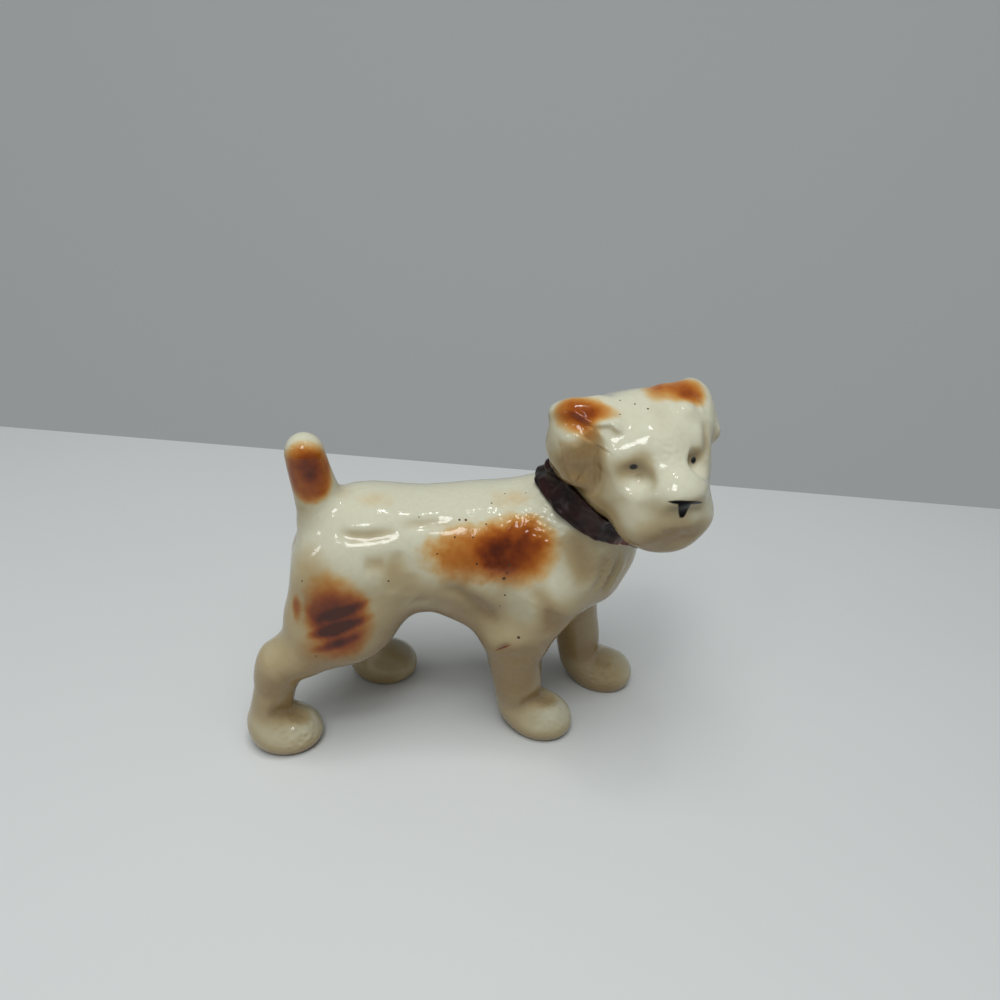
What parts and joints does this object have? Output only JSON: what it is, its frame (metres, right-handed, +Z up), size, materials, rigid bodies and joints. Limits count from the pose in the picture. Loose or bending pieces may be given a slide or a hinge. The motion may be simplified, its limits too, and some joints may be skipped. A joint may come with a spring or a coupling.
{
  "type": "porcelain dog figurine",
  "caption": "Glazed porcelain figurine of a standing terrier with a raised tail, folded ears and a brown collar, its head turned to its right.",
  "frame": {"origin": "on the table, under the middle of the figure's bounding box", "axes": "+X towards the dog's chest, +Y to the dog's left, +Z up"},
  "size_m": [0.1118, 0.052, 0.1012],
  "materials": {
    "cream_glaze": "glossy cream glaze with airbrushed orange-brown patches",
    "collar_brown": "satin dark brown paint under a thin glaze"
  },
  "bodies": {
    "root": {"torso": "cream_glaze", "head": "cream_glaze", "right_ear": "cream_glaze", "left_ear": "cream_glaze", "collar": "collar_brown", "tail": "cream_glaze", "right_hind_leg": "cream_glaze", "left_hind_leg": "cream_glaze", "right_fore_leg": "cream_glaze", "left_fore_leg": "cream_glaze"}
  },
  "joints": []
}
